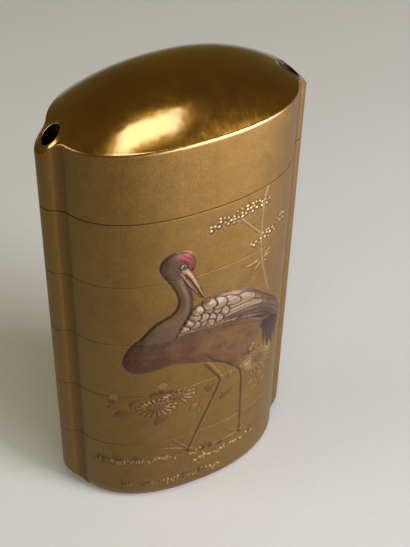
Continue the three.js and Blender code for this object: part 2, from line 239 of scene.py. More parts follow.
class Board:
    """The decorated face as a grid of points; figures are laid on it in [along, height] millimetres."""

    def __init__(self, along, heights):
        self.u, self.z = np.meshgrid(along, heights)
        self.relief, self.cover, self.ink, self.gilt_and_highlight = np.zeros((4, *self.u.shape))
        self.paint = np.zeros(self.u.shape + (3,))

    def window(self, low, high, margin):
        """The part of the grid inside a box, as slices, or None when the box misses it."""
        columns, rows = (np.flatnonzero((axis > start - margin) & (axis < end + margin))
                         for axis, start, end in zip((self.u[0], self.z[:, 0]), low, high))
        if len(columns) and len(rows):
            return slice(rows[0], rows[-1] + 1), slice(columns[0], columns[-1] + 1)
        return None

    def find(self, figure, soft, within, margin=WINDOW_MARGIN):
        """Where a figure lies on the grid, its depth there, and how far inside it each point is, from 0 to 1."""
        place = self.window(*figure.box, margin)
        if place is None:
            return None, None, None
        u, z = self.u[place], self.z[place]
        depth = figure.depth(u, z)
        inside = smooth(-soft, soft, depth)
        if within is not None:
            inside = inside * smooth(-EDGE_SOFT, EDGE_SOFT, within.depth(u, z))
        return place, depth, inside

    def lay(self, figure, height=0.0, bulge=1.0, colour=None, cover=1.0, line=0.0, rim=0.12, gilt_and_highlight=0.0,
            soft=EDGE_SOFT, hide=False, within=None):
        """Lays a figure: its relief swells over bulge mm, with paint inside and a dark line round its edge.

        hide covers the ink and painted shade of what lies beneath, and within keeps the figure inside another one.
        """
        place, depth, inside = self.find(figure, soft, within, WINDOW_MARGIN + soft)
        if place is None:
            return
        swell = height * np.clip(depth / bulge, 0, 1) ** SWELL_POWER if height else 0.0
        if hide:
            self.relief[place] = self.relief[place] * (1 - inside) + np.maximum(self.relief[place], swell) * inside
            self.ink[place] *= 1 - inside
            self.gilt_and_highlight[place] *= 1 - inside
        else:
            self.relief[place] = np.maximum(self.relief[place], swell * inside)
        if colour is not None:
            colour = linear(*colour)
            wash = (inside * cover)[..., None]
            held = self.cover[place][..., None] * (1 - wash)
            total = wash + held
            mixed = (colour * wash + self.paint[place] * held) / np.maximum(total, 1e-6)
            self.paint[place] = np.where(total > 1e-6, mixed, colour)
            self.cover[place] = total[..., 0]
        # Raised details turn a paler gold, partly gilt and partly a painted highlight.
        if gilt_and_highlight:
            self.gilt_and_highlight[place] = np.maximum(self.gilt_and_highlight[place], gilt_and_highlight * inside)
        if line:
            band = smooth(rim, rim * 0.3, np.abs(depth))
            self.ink[place] = np.maximum(self.ink[place], line * band)
            self.relief[place] -= LINE_DEPTH * band * min(line, 1.0)

    def tint(self, figure, colour, cover, soft, within=None):
        """Washes colour over a figure, with no relief."""
        self.lay(figure, colour=colour, cover=cover, soft=soft, within=within)

    def draw(self, figure, strength, groove=0.03, within=None):
        """Draws a figure in dark ink, slightly sunk; the buds' painted shadows are drawn with it too."""
        place, _, inside = self.find(figure, DRAWN_SOFT, within)
        if place is None:
            return
        self.ink[place] = np.maximum(self.ink[place], strength * inside)
        self.relief[place] -= groove * inside


class Area:
    """A closed outline as a figure; depth is the distance inside it, negative outside."""

    def __init__(self, points):
        self.points = np.asarray(points, float)
        self.box = (self.points.min(axis=0), self.points.max(axis=0))

    def depth(self, u, z):
        start, end = self.points, np.roll(self.points, -1, axis=0)
        nearest = np.full(u.shape, 1e9)
        within = np.zeros(u.shape, bool)
        for (ax, ay), (bx, by) in zip(start, end):
            nearest = np.minimum(nearest, segment_distance(u, z, ax, ay, bx, by)[0])
            if ay != by:
                crosses = (z > min(ay, by)) & (z <= max(ay, by))
                within ^= crosses & (u < ax + (z - ay) * (bx - ax) / (by - ay))
        return np.where(within, nearest, -nearest)


class Stroke:
    """A line of changing width as a figure: a brush stroke, a stem, a leg or a feather."""

    def __init__(self, points, widths):
        self.points = np.asarray(points, float)
        places = np.linspace(0, len(widths) - 1, len(points))
        self.half = np.interp(places, np.arange(len(widths)), widths) / 2
        reach = self.half.max()
        self.box = (self.points.min(axis=0) - reach, self.points.max(axis=0) + reach)

    def edge(self, side):
        """The points along one side of the line, 1 for its right and -1 for its left as it runs."""
        ahead = np.gradient(self.points, axis=0)
        return self.points + side * turned_right(ahead) * self.half[:, None]

    def depth(self, u, z):
        best = np.full(u.shape, -1e9)
        for k in range(len(self.points) - 1):
            (ax, ay), (bx, by) = self.points[k], self.points[k + 1]
            distance, part = segment_distance(u, z, ax, ay, bx, by)
            half = self.half[k] + part * (self.half[k + 1] - self.half[k])
            best = np.maximum(best, half - distance)
        return best


class Oval:
    """An ellipse as a figure, turned by an angle."""

    def __init__(self, along, height, half_length, half_width, turn=0.0):
        self.centre = (along, height)
        self.half = (half_length, half_width)
        self.turn = turn
        reach = max(self.half)
        self.box = ((along - reach, height - reach), (along + reach, height + reach))

    def depth(self, u, z):
        c, s = cos(self.turn), sin(self.turn)
        du, dz = u - self.centre[0], z - self.centre[1]
        reach = np.hypot((du * c + dz * s) / self.half[0], (dz * c - du * s) / self.half[1])
        return (1 - reach) * min(self.half)


def segment_distance(u, z, ax, ay, bx, by):
    """The distance to a segment, and how far along it the nearest point is, from 0 to 1."""
    dx, dy = bx - ax, by - ay
    part = np.clip(((u - ax) * dx + (z - ay) * dy) / max(dx * dx + dy * dy, 1e-12), 0, 1)
    return np.hypot(u - ax - part * dx, z - ay - part * dy), part


def spline(points, closed=False):
    """A smooth Catmull-Rom curve through a few points."""
    p = np.asarray(points, float)
    before, after = (p[-1:], p[:2]) if closed else (2 * p[:1] - p[1:2], 2 * p[-1:] - p[-2:-1])
    padded = np.vstack([before, p, after])
    t = np.linspace(0, 1, SPLINE_STEPS, endpoint=False)[:, None]
    curve = []
    for a, b, c, d in zip(padded, padded[1:], padded[2:], padded[3:]):
        curve.append(b + 0.5 * t * (c - a + t * (2 * a - 5 * b + 4 * c - d + t * (3 * (b - c) + d - a))))
    curve = np.vstack(curve)
    return curve if closed else np.vstack([curve, p[-1:]])


def brush(points, widths):
    """A stroke along a smooth curve through a few points."""
    return Stroke(spline(points), widths)


def leaf(along, height, length, width, turn):
    """A leaf's outline from its foot to its tip, slightly bent."""
    part = np.linspace(0, 1, 14)
    middle = np.column_stack([part * length, LEAF_BEND * length * np.sin(pi * part)])
    half = np.column_stack([0 * part, width / 2 * np.sin(pi * part**0.8)])
    outline = np.vstack([middle + half, (middle - half)[-2:0:-1]])
    c, s = cos(turn), sin(turn)
    return Area(outline @ np.array([[c, s], [-s, c]]) + [along, height])


# --- The crane ---

# Pigments, as the display colours that they show.
PLUM = (80, 44, 24)
FLANK = (112, 76, 40)
OCHRE = (138, 100, 50)
SLATE = (110, 86, 58)
HEAD = (104, 74, 50)
CROWN = (164, 60, 60)
BEAK = (214, 172, 124)
PEARL = (180, 154, 114)
PLUME = (50, 44, 42)
LEG = (122, 88, 46)
LEAF_BROWN = (94, 54, 16)
PETAL = (150, 116, 68)
SILVER = (180, 182, 168)
DARK = (30, 22, 14)

# The figures' points are (along the front from its middle, height), and an Oval is its place, half axes and turn.
BODY = Area(spline([
    (-7.4, 48.6), (-10.6, 46.9), (-13.2, 44.2), (-14.4, 40.6), (-13.2, 38.1), (-10.6, 37.6), (-5.6, 38.5),
    (-2.1, 37.6), (1.3, 36.4), (4.4, 34.5), (7, 32), (8.8, 33.2), (11, 36.4), (12.8, 39.2), (13.4, 43),
    (6, 47), (-2.6, 48.5)], closed=True))
NECK = brush([(-5.7, 61.2), (-5.1, 59.4), (-4.2, 57), (-3.5, 54.4), (-3.6, 52), (-4.7, 49.8), (-7, 47.6),
              (-9.6, 44.6)], [3.4, 2.6, 2.1, 2.2, 2.7, 3.5, 5, 4.6])
WING = Area(spline([
    (-5, 45.9), (-3.6, 48.4), (-2.2, 51), (0.8, 52.2), (3.4, 52.6), (6.6, 51.9), (9.9, 50.2), (13.2, 46.9),
    (16.1, 43.8), (18.4, 40), (19.2, 36.6), (16.6, 38.8), (12.6, 41.6), (8.2, 44.4), (2, 45.8)], closed=True))


def draw_tail(board):
    """The dark drooping plumes under the wing's tip."""
    tips = [(13.8, 34), (15.2, 31.7), (16.6, 31.2), (17.9, 32.2), (18.9, 34.2), (19.3, 36.8)]
    for k, (along, height) in enumerate(tips):
        start = (12.2 + 0.7 * k, 40.4 - 0.3 * k)
        bend = ((start[0] + along) / 2 + 0.9, (start[1] + height) / 2 + 0.9)
        path = spline([start, bend, (along, height)])
        board.lay(Stroke(path, [0.8, 2, 1.5, 0.3]), 0.14, 0.6, PLUME, 0.9, line=0.5, rim=0.16, hide=True)
        board.draw(Stroke(path, [0.2, 0.12]), 0.5)


def draw_body(board):
    """The breast and flank, with patches and blots of colour, and short lines at the breast, flank and thigh."""
    board.lay(BODY, 0.42, 2.2, FLANK, 0.78, line=0.8, rim=0.16, hide=True)
    patches = [
        (Oval(-10.5, 42, 4.9, 5.6), PLUM, 0.9, 1.6),
        (Oval(-4.4, 42.6, 4.2, 3), (94, 54, 38), 0.7, 1.4),
        (Oval(2.5, 44.6, 7.5, 1, -0.05), (92, 58, 44), 0.65, 0.8),
        (Oval(-2, 38.6, 5, 1.4, -0.15), PLUM, 0.5, 0.8),
        (Oval(5, 40.8, 4.8, 2.6, -0.4), OCHRE, 0.85, 1.4),
        (Oval(2, 41.8, 2.6, 2), OCHRE, 0.35, 1.2),
        (Oval(6.2, 36.6, 2.6, 2.2, -0.7), (126, 78, 54), 0.6, 0.9),
        (Oval(10.2, 39.2, 1.8, 2.6), (122, 84, 60), 0.5, 0.8),
    ]
    for patch, colour, cover, soft in patches:
        board.tint(patch, colour, cover, soft, BODY)
    rng = np.random.default_rng(11)
    for _ in range(90):
        along, height = rng.uniform(-13.5, 12), rng.uniform(33.5, 47.5)
        tone = (PLUM, FLANK, OCHRE, PLUM)[rng.integers(4)]
        blot = Oval(along, height, rng.uniform(0.7, 2.2), rng.uniform(0.4, 1), rng.uniform(-0.9, 0.3))
        board.lay(blot, colour=tone, cover=rng.uniform(0.2, 0.5), soft=0.45, within=BODY)
    for k in range(5):
        path = [(-13.9 + 0.42 * k, 39 - 0.1 * k), (-14 + 0.55 * k, 41.6), (-12.6 + 0.7 * k, 44.9)]
        board.draw(brush(path, [0.1, 0.14, 0.05]), 0.35, within=BODY)
    for k in range(7):
        path = [(8.4 + 0.3 * k, 44.4 - 0.85 * k), (12.6 + 0.1 * k, 41.6 - 0.85 * k)]
        board.draw(Stroke(path, [0.05, 0.2, 0.05]), 0.4, within=BODY)
    thigh = [(0, 39.4), (1.1, 37.9), (2.1, 36.6), (3.6, 35.4), (5, 34.2), (6.2, 33.2)]
    board.draw(brush(thigh, [0.1, 0.42, 0.42, 0.3]), 0.85, groove=0.08)


def draw_neck_and_head(board):
    """The neck, plum where it meets the breast, then the head with its red crown and dark cheek."""
    board.lay(NECK, 0.45, 1.1, SLATE, 0.85, hide=True)
    breast = Area([(-14.6, 45.1), (-4.6, 45.1), (-4.6, 41), (-14.6, 41)])
    board.tint(breast, PLUM, 0.75, 0.2, NECK)
    board.draw(Stroke(NECK.edge(1), [0.42, 0.46, 0.46]), 0.95, groove=0.06)
    board.draw(Stroke(NECK.edge(-1)[:-8], [0.3, 0.36, 0.3]), 0.9, groove=0.06)
    shade = brush([(-4.1, 60.6), (-3.3, 57.6), (-2.55, 55.2), (-2.35, 52.7), (-2.75, 50.6), (-3.9, 48.2),
                   (-5.2, 45.6)], [0.5, 0.85, 0.8, 0.7, 0.4])
    board.tint(shade, (58, 42, 44), 0.8, 0.16)
    head = Oval(-4.85, 62.3, 2.95, 2.85)
    board.lay(head, 0.5, 1.1, HEAD, 0.9, line=0.95, rim=0.2, hide=True)
    board.tint(Oval(-5.6, 61, 1, 1.6, 0.3), SLATE, 0.5, 0.5, head)
    board.tint(Oval(-6.4, 63.4, 1.2, 1, 0.8), (96, 56, 52), 0.5, 0.5, head)
    crown = Area(spline([(-4.5, 64.9), (-3.4, 65), (-2.35, 64.4), (-1.8, 63.2), (-1.7, 61.6), (-2, 60.2),
                         (-2.5, 60.6), (-2.7, 62), (-3.3, 62.9), (-4.3, 63.5)], closed=True))
    board.lay(crown, 0.5, 1.1, CROWN, 0.95, line=0.5, rim=0.14, soft=0.1)
    board.tint(Oval(-2.5, 64.3, 1.3, 0.35, -0.8), (150, 60, 56), 0.5, 0.2, crown)
    board.tint(Oval(-4, 60.5, 0.75, 1.2, 0.35), DARK, 0.6, 0.3, head)
    for k in range(6):
        board.draw(Stroke([(-7.2 + 0.5 * k, 61.4), (-6.9 + 0.5 * k, 60.2)], [0.08, 0.05]), 0.35, within=head)


def draw_beak_and_eye(board):
    """The beak's two halves, then the eye from its dark surround to its glint, a painted highlight."""
    upper = brush([(-3.75, 61.3), (-2.1, 58.3), (-0.05, 53.2)], [1.25, 0.95, 0.25])
    lower = brush([(-4.35, 60.6), (-2.95, 57.6), (-0.35, 53.2)], [0.75, 0.6, 0.18])
    board.lay(lower, 0.38, 0.3, (176, 134, 96), 0.95, line=0.95, rim=0.15, hide=True)
    board.lay(upper, 0.48, 0.4, BEAK, 0.95, line=0.95, rim=0.15, hide=True)
    board.draw(Stroke([(-3.5, 60.2), (-2.2, 57.8)], [0.14, 0.05]), 0.7)
    board.lay(Oval(-3.95, 62.15, 0.85, 0.8), 0.5, 0.5, DARK, 0.95, soft=0.15, hide=True)
    board.lay(Oval(-3.95, 62.2, 0.5, 0.46), 0.54, 0.3, SILVER, 0.85, hide=True)
    board.lay(Oval(-3.9, 62.15, 0.34, 0.32), 0.56, 0.2, DARK, 1, soft=0.05)
    # A painted highlight: a pale dot for the eye's glint.
    board.lay(Oval(-4.1, 62.35, 0.13, 0.13), 0.58, 0.1, (235, 236, 224), 1, soft=0.05)


def draw_wing(board):
    """Rounded scale feathers by the neck, then long feathers that sweep down to the tail."""
    board.lay(WING, 0.55, 1.3, (140, 112, 72), 0.8, line=0.9, rim=0.2, hide=True)
    edge = brush([(7, 51.5), (10, 49.8), (13.1, 46.7), (15.9, 43.6), (18, 40)], [0.3, 1, 1.6, 1.4])
    board.tint(edge, (98, 64, 52), 0.75, 0.3, WING)
    tones = [(132, 104, 72), (112, 86, 60), (90, 68, 50), (76, 58, 44), (66, 50, 40)]
    for k, tone in enumerate(tones):
        quill = spline([(5.6 - 0.4 * k, 47.9 - 0.75 * k), (11, 46.4 - k), (15.2 - 0.2 * k, 43.2 - k),
                        (18.6 - 0.7 * k, 39 - 0.8 * k)])
        board.lay(Stroke(quill, [0.6, 1.25, 1.1, 0.3]), 0.62, 0.5, tone, 0.7, line=0.65, rim=0.15, within=WING)
        board.draw(Stroke(quill, [0.05, 0.1, 0.05]), 0.45, within=WING)
    long_feathers = [
        ([(3.4, 48), (8, 47.9), (11.6, 46.5)], [2.2, 2.1, 1.1]),
        ([(4, 49.9), (7.5, 49.7), (9.7, 49)], [2.5, 2.5, 1.4]),
        ([(2.2, 50.9), (4.5, 50.8), (6.2, 50)], [2, 2.2, 1.6]),
    ]
    for points, widths in long_feathers:
        board.lay(brush(points, widths), 0.6, 0.9, PEARL, 0.8, line=1, rim=0.22, within=WING, hide=True)
        for shift in (-0.45, 0, 0.45):
            vein = [(x, z + shift) for x, z in points]
            board.draw(brush(vein, [0.04, 0.1, 0.04]), 0.35, within=WING)
    scales = [(3.6, 48.7, 1.25), (2.6, 47.4, 1.15), (2.1, 49.6, 1.2), (3, 50.9, 1.3), (1.2, 48.1, 1.15),
              (1.3, 46.9, 0.9), (0.5, 50.1, 1.15), (-0.3, 47.4, 1), (-0.1, 48.8, 1.1), (1.2, 51.3, 1.15),
              (-1.5, 47.5, 0.95), (-1.5, 49.2, 1), (-1, 50.6, 1), (-2.6, 48.1, 0.9), (-3.3, 46.9, 0.8)]
    for along, height, size in scales:
        scale = Oval(along - 0.3, height + 0.1, size * 1.22, size * 1.02, -0.35)
        board.lay(scale, 0.64, 1.1, PEARL, 0.85, line=1, rim=0.23, within=WING, hide=True)
    fringe = brush([(-5, 45.9), (-3, 46.3), (0, 46.4), (3, 46.2), (6, 45.7)], [0.5, 0.9, 0.7, 0.3])
    board.lay(fringe, 0.6, 0.4, (146, 108, 70), 0.8, line=0.4)
    for k in range(26):
        barb = Oval(-4.6 + 0.38 * k, 46.15 - 0.012 * (k - 8) ** 2 / 6, 0.12, 0.24)
        board.lay(barb, 0.64, 0.15, gilt_and_highlight=0.35, line=0.4, rim=0.1)


def draw_legs(board):
    """Both legs with a dark line down the left side and spread toes."""
    front_foot, rear_foot = (-2.2, 13.2), (9.1, 12.4)
    legs = [
        ([(1.2, 36), (2.4, 33.7), (3.6, 31.7), (4, 29.9), (2.7, 26), (-0.2, 18.6), front_foot],
         [1.5, 1.25, 1.05, 0.95, 1]),
        ([(6.2, 34.2), (7.7, 32), (8.6, 29.8), (8.9, 26.5), (9, 19), rear_foot], [2.2, 1.2, 1, 0.95, 1]),
    ]
    for points, widths in legs:
        path = spline(points)
        board.lay(Stroke(path, widths), 0.14, 0.5, LEG, 0.35, line=0.65, rim=0.14, hide=True)
        board.draw(Stroke(path - [0.4, 0], [0.28, 0.4, 0.36, 0.32, 0.28]), 0.75)
    toes = [
        (front_foot, [(-5.9, 17.8)], 0.55), (front_foot, [(-6, 14.9), (-10, 15.9)], 0.6),
        (front_foot, [(-4, 12.2), (-7.4, 12.4)], 0.5), (rear_foot, [(7, 13.6), (4.9, 15.1)], 0.5),
        (rear_foot, [(5, 12), (0.2, 12.9)], 0.6), (rear_foot, [(11.8, 11.2)], 0.5),
    ]
    for foot, points, width in toes:
        toe = brush([foot] + points, [width * 1.3, width, width * 0.5])
        board.lay(toe, 0.1, 0.25, LEG, 0.4, line=0.7, rim=0.13)
    for foot in (front_foot, rear_foot):
        board.lay(Oval(*foot, 0.8, 0.6), 0.34, 0.4, (96, 62, 30), 0.6, soft=0.2)


# --- Plants and ground ---


def draw_valerian(board, rng):
    """A tall flowering stem with twigs, clusters of small gold buds, each over a dark disc set to its lower right
    as a painted shadow, and narrow leaves.
    """
    stem = brush([(11.9, 72.2), (11.3, 69.4), (11.1, 66), (11.2, 63), (11.2, 60), (11.6, 56.6), (12.1, 54.2),
                  (13, 50.8), (14, 47.4)], [0.5, 0.46, 0.55])
    branch = brush([(11.1, 62.4), (9.6, 64.1), (7.9, 66.3), (6.5, 68.2)], [0.55, 0.4])
    twigs = [
        [(7.7, 66.6), (5.6, 67.8), (3, 68.8)], [(7.7, 66.6), (8.3, 67.8), (9.2, 69.2)],
        [(7.3, 67.1), (7.4, 68.6), (7.6, 69.8)], [(7.9, 66.5), (9.6, 67.3), (11.2, 68.3)],
        [(6.8, 67.9), (5.2, 68.8), (4.9, 69.8)], [(11.2, 60), (12.6, 61), (13.8, 62)],
        [(11.2, 60.2), (10.2, 60.7), (9.4, 60.9)], [(11.3, 59.2), (14, 60.6), (16.6, 62.8)],
        [(11.2, 70), (11.9, 69.4), (12.6, 69.1)],
    ]
    board.lay(stem, 0.1, 0.2, line=0.7, rim=0.14, gilt_and_highlight=0.5)
    board.lay(branch, 0.1, 0.2, line=0.7, rim=0.14, gilt_and_highlight=0.4)
    for twig in twigs:
        board.lay(brush(twig, [0.26, 0.18]), 0.06, 0.1, line=0.45, rim=0.1, gilt_and_highlight=0.15)
    clusters = [(1.5, 68.1, 0.9, 0.6, 5), (3.1, 69.2, 1, 0.7, 7), (4.6, 68.3, 0.9, 0.6, 5),
                (6.6, 69.5, 1.9, 1.1, 18), (9, 69.4, 1.8, 1, 15), (11.5, 69.2, 1.2, 0.7, 7),
                (9.6, 60.9, 0.8, 0.5, 4), (12.6, 61.6, 1.9, 1, 13), (16.4, 62.9, 1.4, 0.8, 8)]
    apart = 0.66
    placed = []
    for along, height, half_length, half_height, count in clusters:
        for _ in range(6 * count):
            angle, reach = rng.uniform(0, 2 * pi), sqrt(rng.uniform(0, 1))
            x = along + half_length * reach * cos(angle)
            z = height + half_height * reach * sin(angle)
            size = rng.uniform(0.26, 0.4)
            if any(hypot(x - px, z - pz) < apart for px, pz in placed):
                continue
            placed.append((x, z))
            # Each bud sits on a dark disc set to its lower right, a painted shadow, and its paler gold is partly a
            # painted highlight.
            board.draw(Oval(x + 0.08, z - 0.1, size + 0.16, size + 0.16), 0.95)
            board.lay(Oval(x, z, size * 0.85, size * 0.75), 0.12, 0.3, gilt_and_highlight=0.8, hide=True)
    leaves = [(11.4, 56.6, 4.2, 1, 3.1), (11.5, 56.2, 2.6, 0.8, 3.9), (11.8, 56.4, 3.4, 0.9, -0.25),
              (11.8, 56.6, 3, 0.7, 0.3), (11.8, 55.8, 2.2, 0.7, -0.8)]
    for values in leaves:
        board.lay(leaf(*values), 0.06, 0.3, line=0.75, rim=0.14, gilt_and_highlight=0.1)


def draw_flower(board, centre, radii, petals, eye):
    """A daisy-like head seen from above its front: long petals below, short ones above, each inked round."""
    for k in range(petals):
        angle = 2 * pi * (k + 0.5) / petals
        full = (1, 1) if sin(angle) < 0.25 else (0.85, 0.55)
        reach = np.multiply(radii, full) * (cos(angle), sin(angle))
        petal = Stroke([centre + 0.4 * reach, centre + reach], [0.35, 0.62])
        board.lay(petal, 0.14, 0.3, PETAL, 0.35, line=0.85, rim=0.15, hide=True)
    board.lay(Oval(*centre, *eye), 0.18, 0.8, (100, 70, 40), 0.75, line=0.5, soft=0.2, hide=True)


def draw_chrysanthemums(board):
    """Two heads at the left, a large one at the right, their stems and leaves, and four small buds."""
    brown_leaves = [(-10, 30.9, 3.6, 1.9, 0.1), (-6.9, 31.6, 2.6, 1.2, -0.45), (-16.5, 25.8, 3.7, 1.9, 0.3),
                    (-13.3, 28.2, 2.6, 1.2, 1.05), (-9.1, 22.7, 4, 1.9, 0.6), (1.2, 28.1, 2.8, 2, 1),
                    (3.9, 24.6, 3.6, 1.9, 0.5), (-17.5, 28.1, 1.2, 0.7, 0.5)]
    gold_leaves = [(12.4, 25, 3.8, 1.8, 0.5), (13.2, 22.2, 3.4, 1.6, 0.35), (-2.2, 24.2, 2.6, 1.7, 0.7),
                   (-0.6, 22.6, 2, 1.1, 1.2), (9.8, 24.6, 3.6, 1.5, -0.2), (6, 29.4, 2.2, 1.2, 1.4),
                   (10.4, 21.8, 3.2, 1.3, 0.3)]
    stems = [[(-8, 22), (-6.4, 25.2), (-5, 28)], [(-11, 24), (-13.4, 27), (-16.2, 29.8)],
             [(-2.4, 20.4), (-2.6, 24), (-1.4, 26.4)], [(10.5, 20), (12, 25), (12.6, 28)]]
    for path in stems:
        board.lay(brush(path, [0.26, 0.18]), 0.06, 0.12, line=0.35, rim=0.1)
    for values in gold_leaves:
        board.lay(leaf(*values), 0.08, 0.5, (132, 100, 58), 0.25, line=0.7, rim=0.14)
    for values in brown_leaves:
        figure = leaf(*values)
        board.lay(figure, 0.08, 0.5, LEAF_BROWN, 0.75, line=0.35, rim=0.14, soft=0.12)
        x, z, length, _, turn = values
        vein = [(x, z), (x + 0.85 * length * cos(turn + 0.12), z + 0.85 * length * sin(turn + 0.12))]
        board.draw(Stroke(vein, [0.14, 0.05]), 0.4)

    draw_flower(board, (-4.8, 29.7), (3.4, 2.6), 15, (1.6, 0.95))
    draw_flower(board, (-8.5, 28.2), (3.7, 3), 19, (1.85, 1.1))
    x, z, petals = 12.6, 30.4, 20
    for k in range(petals):
        angle = 2 * pi * k / petals
        rays = (1, 0.9, angle), (2.8, 2.4, angle), (4.4, 3.8, angle + 0.25)
        path = [(x + wide * cos(turn), z + tall * sin(turn)) for wide, tall, turn in rays]
        tone = (132, 98, 60) if k % 3 else (112, 74, 50)
        board.lay(brush(path, [0.4, 0.8, 0.55]), 0.06, 0.3, tone, 0.3, line=0.9, rim=0.18, gilt_and_highlight=0.15, hide=True)
    board.lay(Oval(x, z, 1.2, 0.9), 0.08, 0.6, (112, 74, 46), 0.7, line=0.5)

    for along, height in [(-7.4, 33), (-16.3, 31), (9.2, 35.4), (10.5, 35)]:
        board.lay(Oval(along, height - 1.1, 0.8, 0.7), 0.1, 0.4, LEAF_BROWN, 0.7, line=0.4)
        for k in range(5):
            tip = (along + 0.36 * (k - 2), height + 0.9 - 0.1 * (k - 2) ** 2)
            board.lay(Stroke([(along + 0.13 * (k - 2), height - 0.5), tip], [0.24, 0.42]), 0.1, 0.2, PETAL, 0.4,
                      line=0.75, rim=0.14, gilt_and_highlight=0.35, hide=True)


def draw_ground(board, rng):
    """Rows of raised gold grains with dark tufts of grass behind them."""
    rows = [(-20.8, -5.4, 12.35, 96, 1), (-5.4, 1, 11.7, 16, 0.35), (-1.6, 5.4, 9.3, 38, 0.8),
            (6.6, 12.4, 9.5, 24, 0.6), (-15.2, 5.4, 5.15, 70, 0.7)]
    tufts = [(-19.6, 12.9, 1.5), (-18.6, 12.8, 2.1), (-17.4, 12.8, 1.6), (-16.2, 12.8, 2.9), (-15.3, 12.8, 1.9),
             (-12.7, 12.9, 3), (-11.8, 12.9, 1.7), (-9.6, 12.8, 0.9), (0.7, 12.2, 1.5), (2.2, 12.2, 1.4),
             (4.4, 11.9, 1), (11.4, 10.6, 1.4), (-15, 5.6, 1.9), (-14, 5.6, 1.2), (-11.4, 5.6, 1.8),
             (-10.2, 5.6, 1.5), (-8.4, 5.6, 1.1), (-3.4, 5.6, 2), (-2.5, 5.6, 1.6), (0, 5.6, 1.9),
             (1, 5.6, 1.2)]
    for along, height, tall in tufts:
        for k in range(5):
            lean = 0.32 * (k - 2) + rng.uniform(-0.1, 0.1)
            reach = tall * (1 - 0.16 * abs(k - 2)) * rng.uniform(0.8, 1.05)
            blade = Stroke([(along + 0.12 * (k - 2), height - 0.5), (along + lean, height + reach)], [0.5, 0.06])
            board.lay(blade, 0.1, 0.2, (74, 48, 14), 0.7, soft=0.12)
    for start, end, height, count, strength in rows:
        band = Stroke([(start, height - 0.5), (end, height - 0.5)], [1.2, 1.2])
        board.tint(band, (84, 58, 22), 0.4 * strength, 0.7)
        for _ in range(count):
            x = rng.uniform(start, end)
            z = height + 0.25 * sin(1.3 * x) + rng.normal(0, 0.3)
            size = rng.uniform(0.16, 0.36)
            board.lay(Oval(x, z, size * 1.2, size, rng.uniform(0, 3)), 0.16, 0.22, line=0.7 * strength, rim=0.14,
                      gilt_and_highlight=0.4 * strength, hide=True)


def decorated(heights):
    """The face's rows at these heights, with every figure laid in the order in which they overlap."""
    board = Board(ALONG, heights)
    rng = np.random.default_rng(7)
    draw_valerian(board, rng)
    draw_chrysanthemums(board)
    draw_ground(board, rng)
    for draw in (draw_legs, draw_tail, draw_body, draw_wing, draw_neck_and_head, draw_beak_and_eye):
        draw(board)
    np.maximum(board.relief, -DEEPEST, out=board.relief)
    return board


# --- Shells: each piece is one closed surface of rings ---

# The edges at the seams are softened over four rows, and darkened in a band beside the seam: a dark seam line with
# painted shade. The painted shade below each case's wall fades towards the lit right side.
SOFT_ROWS = np.array([0.0, 0.03, 0.08, 0.15])
SEAM_SOFT = 0.03
SEAM_BAND = 0.12
SEAM_LINE_AND_SHADE = 0.42
LID_SEAM_LINE_AND_SHADE = 0.7
SEAM_SHADE_FADE = 0.55 * smooth(0.0, 6.0, OUTLINE[:, 0])

# The grooves are darkened with painted shade and given a reddish tone. Paint hides most of a seam's dark line and
# painted shade.
GROOVE_SHADE = 0.32
PAINT_HIDES = 0.8
GROOVE_REDDISH = (0.11, 0.045, 0.005)
GROOVE_REDDISH_COVER = 0.55

# Rows of the foot and the lid, where the lid's even rows end, the rim's rounding, and the top's finer rows, which
# hold the bores, as parts of the outline. LIPS are the height, distance and half width of the rings round a bore.
FOOT_ROWS, CEILING_ROWS, LID_ROWS, RIM_ROWS, COARSE_ROWS = 20, 16, 26, 8, 40
LID_EVEN, LID_STEP = 4.0, 0.4
RIM_SOFT, RIM_DROP, RIM_LIFT = 0.98, 0.3, 0.12
TOP_STEP, FINE_TO = 0.006, 0.78
TOP_BLEND = 0.6
LIPS = ((0.1, 0.2, 0.16), (-0.12, 0.75, 0.25))

# The columns of a ring's marks: what is painted on each of its points, painted shade and painted highlight among
# them.
PAINT, COVER, INK_AND_SHADE, GILT_AND_HIGHLIGHT, POLISH, INSIDE = slice(0, 3), 3, 4, 5, 6, 7


def outer_ring(z):
    return np.column_stack([OUTLINE, np.full(COUNT, z)])


